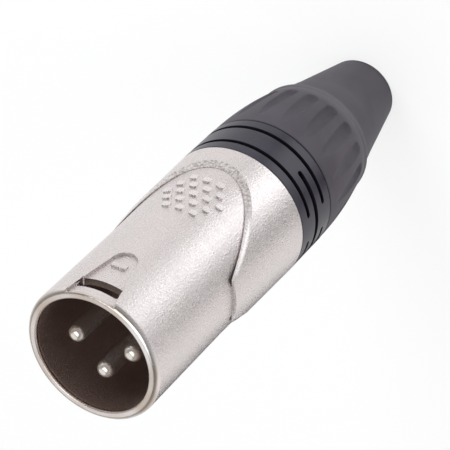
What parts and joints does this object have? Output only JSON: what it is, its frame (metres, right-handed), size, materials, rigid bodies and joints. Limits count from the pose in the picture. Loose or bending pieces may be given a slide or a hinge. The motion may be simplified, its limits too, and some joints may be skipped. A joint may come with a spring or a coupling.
{
  "type": "xlr plug",
  "caption": "Three-pole male audio cable plug with a cast shell, recessed pins, coding ring and a screw-on fluted boot.",
  "frame": {"origin": "centre of the boot's end face, where the cable would enter", "axes": "+Z along the plug's axis out of the open mouth, -Y out through the latch window, so the plug stands on its boot with the mouth up"},
  "size_m": [0.0206, 0.0206, 0.073],
  "materials": {
    "shell": "satin nickel over blasted zinc",
    "insert": "black glass-filled nylon",
    "contact": "silver plated",
    "earth_lug": "tinned spring strip",
    "chuck": "natural acetal",
    "coding_ring": "black nylon",
    "bushing": "black nylon",
    "boot": "soft matt cover"
  },
  "bodies": {
    "boot_body": {"boot": "boot", "bushing": "bushing"},
    "ring_body": {"coding_ring": "coding_ring"},
    "shell_body": {"shell": "shell", "insert": "insert", "contact_1": "contact", "contact_2": "contact", "contact_3": "contact", "earth_lug": "earth_lug", "chuck": "chuck"}
  },
  "joints": [
    {"name": "ring_lift", "type": "slide", "parent": "boot_body", "child": "ring_body", "axis": [0, 0, 1], "range_m": [0, 0.0063]},
    {"name": "shell_turn", "type": "hinge", "parent": "ring_body", "child": "shell_body", "pos_m": [0, 0, 0.04], "axis": [0, 0, 1], "range_deg": [0, 2268]}
  ],
  "couplings": [
    {"joint": "ring_lift", "follows": "shell_turn", "m_per_rad": 0.00015915}
  ]
}
